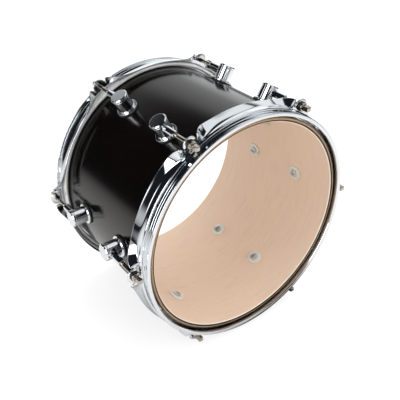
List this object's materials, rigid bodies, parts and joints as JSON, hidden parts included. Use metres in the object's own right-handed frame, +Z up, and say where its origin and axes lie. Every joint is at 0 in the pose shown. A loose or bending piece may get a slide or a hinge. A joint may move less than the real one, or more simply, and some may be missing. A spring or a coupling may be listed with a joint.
{
  "type": "rack tom drum",
  "caption": "Rack tom drum lying on its side: dark wood shell, chrome hoops, turret lugs and tension rods, clear heads that slacken as the rods turn.",
  "frame": {"origin": "on the floor, under the middle of the drum's length, where the hoops' skirts rest", "axes": "+Y along the drum's axis from batter end to resonant end, +Z up, batter head facing -Y"},
  "size_m": [0.3552, 0.2448, 0.3286],
  "materials": {
    "shell_wood": "dark satin stain outside, natural maple inside",
    "hoop_chrome": "bright chrome plate",
    "lug_chrome": "bright chrome plate",
    "rod_steel": "warm nickel plate",
    "clear_film": "clear glossy polyester film",
    "flesh_metal": "plain aluminium channel",
    "washer_black": "black nylon",
    "gasket_rubber": "black rubber",
    "washer_nylon": "milky translucent nylon",
    "screw_steel": "zinc plate",
    "vent_chrome": "bright chrome plate"
  },
  "bodies": {
    "drum": {"drum_shell": "shell_wood", "vent_grommet": "vent_chrome", "lug_gaskets": "gasket_rubber", "lug_inner_washers": "washer_nylon", "lug_screws": "screw_steel", "batter_lug_1": "lug_chrome", "batter_lug_sleeve_1": "lug_chrome", "batter_lug_2": "lug_chrome", "batter_lug_sleeve_2": "lug_chrome", "batter_lug_3": "lug_chrome", "batter_lug_sleeve_3": "lug_chrome", "batter_lug_4": "lug_chrome", "batter_lug_sleeve_4": "lug_chrome", "batter_lug_5": "lug_chrome", "batter_lug_sleeve_5": "lug_chrome", "batter_lug_6": "lug_chrome", "batter_lug_sleeve_6": "lug_chrome", "resonant_lug_1": "lug_chrome", "resonant_lug_sleeve_1": "lug_chrome", "resonant_lug_2": "lug_chrome", "resonant_lug_sleeve_2": "lug_chrome", "resonant_lug_3": "lug_chrome", "resonant_lug_sleeve_3": "lug_chrome", "resonant_lug_4": "lug_chrome", "resonant_lug_sleeve_4": "lug_chrome", "resonant_lug_5": "lug_chrome", "resonant_lug_sleeve_5": "lug_chrome", "resonant_lug_6": "lug_chrome", "resonant_lug_sleeve_6": "lug_chrome"},
    "batter_head_and_hoop": {"batter_hoop": "hoop_chrome", "batter_flesh_hoop": "flesh_metal", "batter_film": "clear_film", "batter_rod_washers": "washer_black"},
    "batter_rod_1": {"batter_tension_rod_1": "rod_steel"},
    "batter_rod_2": {"batter_tension_rod_2": "rod_steel"},
    "batter_rod_3": {"batter_tension_rod_3": "rod_steel"},
    "batter_rod_4": {"batter_tension_rod_4": "rod_steel"},
    "batter_rod_5": {"batter_tension_rod_5": "rod_steel"},
    "batter_rod_6": {"batter_tension_rod_6": "rod_steel"},
    "resonant_head_and_hoop": {"resonant_hoop": "hoop_chrome", "resonant_flesh_hoop": "flesh_metal", "resonant_film": "clear_film", "resonant_rod_washers": "washer_black"},
    "resonant_rod_1": {"resonant_tension_rod_1": "rod_steel"},
    "resonant_rod_2": {"resonant_tension_rod_2": "rod_steel"},
    "resonant_rod_3": {"resonant_tension_rod_3": "rod_steel"},
    "resonant_rod_4": {"resonant_tension_rod_4": "rod_steel"},
    "resonant_rod_5": {"resonant_tension_rod_5": "rod_steel"},
    "resonant_rod_6": {"resonant_tension_rod_6": "rod_steel"}
  },
  "joints": [
    {"name": "batter_tension", "type": "slide", "parent": "drum", "child": "batter_head_and_hoop", "axis": [0, -1, 0], "range_m": [0, 0.012]},
    {"name": "batter_rod_1_turn", "type": "hinge", "parent": "batter_head_and_hoop", "child": "batter_rod_1", "pos_m": [0.08145, -0.1, 0.31124], "axis": [0, -1, 0], "range_deg": [0, 4082]},
    {"name": "batter_rod_2_turn", "type": "hinge", "parent": "batter_head_and_hoop", "child": "batter_rod_2", "pos_m": [0.16797, -0.1, 0.16723], "axis": [0, -1, 0], "range_deg": [0, 4082]},
    {"name": "batter_rod_3_turn", "type": "hinge", "parent": "batter_head_and_hoop", "child": "batter_rod_3", "pos_m": [0.08653, -0.1, 0.0203], "axis": [0, -1, 0], "range_deg": [0, 4082]},
    {"name": "batter_rod_4_turn", "type": "hinge", "parent": "batter_head_and_hoop", "child": "batter_rod_4", "pos_m": [-0.08145, -0.1, 0.01736], "axis": [0, -1, 0], "range_deg": [0, 4082]},
    {"name": "batter_rod_5_turn", "type": "hinge", "parent": "batter_head_and_hoop", "child": "batter_rod_5", "pos_m": [-0.16797, -0.1, 0.16137], "axis": [0, -1, 0], "range_deg": [0, 4082]},
    {"name": "batter_rod_6_turn", "type": "hinge", "parent": "batter_head_and_hoop", "child": "batter_rod_6", "pos_m": [-0.08653, -0.1, 0.3083], "axis": [0, -1, 0], "range_deg": [0, 4082]},
    {"name": "resonant_tension", "type": "slide", "parent": "drum", "child": "resonant_head_and_hoop", "axis": [0, 1, 0], "range_m": [0, 0.012]},
    {"name": "resonant_rod_1_turn", "type": "hinge", "parent": "resonant_head_and_hoop", "child": "resonant_rod_1", "pos_m": [0.08145, 0.1, 0.31124], "axis": [0, 1, 0], "range_deg": [0, 4082]},
    {"name": "resonant_rod_2_turn", "type": "hinge", "parent": "resonant_head_and_hoop", "child": "resonant_rod_2", "pos_m": [0.16797, 0.1, 0.16723], "axis": [0, 1, 0], "range_deg": [0, 4082]},
    {"name": "resonant_rod_3_turn", "type": "hinge", "parent": "resonant_head_and_hoop", "child": "resonant_rod_3", "pos_m": [0.08653, 0.1, 0.0203], "axis": [0, 1, 0], "range_deg": [0, 4082]},
    {"name": "resonant_rod_4_turn", "type": "hinge", "parent": "resonant_head_and_hoop", "child": "resonant_rod_4", "pos_m": [-0.08145, 0.1, 0.01736], "axis": [0, 1, 0], "range_deg": [0, 4082]},
    {"name": "resonant_rod_5_turn", "type": "hinge", "parent": "resonant_head_and_hoop", "child": "resonant_rod_5", "pos_m": [-0.16797, 0.1, 0.16137], "axis": [0, 1, 0], "range_deg": [0, 4082]},
    {"name": "resonant_rod_6_turn", "type": "hinge", "parent": "resonant_head_and_hoop", "child": "resonant_rod_6", "pos_m": [-0.08653, 0.1, 0.3083], "axis": [0, 1, 0], "range_deg": [0, 4082]}
  ],
  "couplings": [
    {"joint": "batter_rod_1_turn", "follows": "batter_tension", "rad_per_m": 5936.9},
    {"joint": "batter_rod_2_turn", "follows": "batter_tension", "rad_per_m": 5936.9},
    {"joint": "batter_rod_3_turn", "follows": "batter_tension", "rad_per_m": 5936.9},
    {"joint": "batter_rod_4_turn", "follows": "batter_tension", "rad_per_m": 5936.9},
    {"joint": "batter_rod_5_turn", "follows": "batter_tension", "rad_per_m": 5936.9},
    {"joint": "batter_rod_6_turn", "follows": "batter_tension", "rad_per_m": 5936.9},
    {"joint": "resonant_rod_1_turn", "follows": "resonant_tension", "rad_per_m": 5936.9},
    {"joint": "resonant_rod_2_turn", "follows": "resonant_tension", "rad_per_m": 5936.9},
    {"joint": "resonant_rod_3_turn", "follows": "resonant_tension", "rad_per_m": 5936.9},
    {"joint": "resonant_rod_4_turn", "follows": "resonant_tension", "rad_per_m": 5936.9},
    {"joint": "resonant_rod_5_turn", "follows": "resonant_tension", "rad_per_m": 5936.9},
    {"joint": "resonant_rod_6_turn", "follows": "resonant_tension", "rad_per_m": 5936.9}
  ]
}
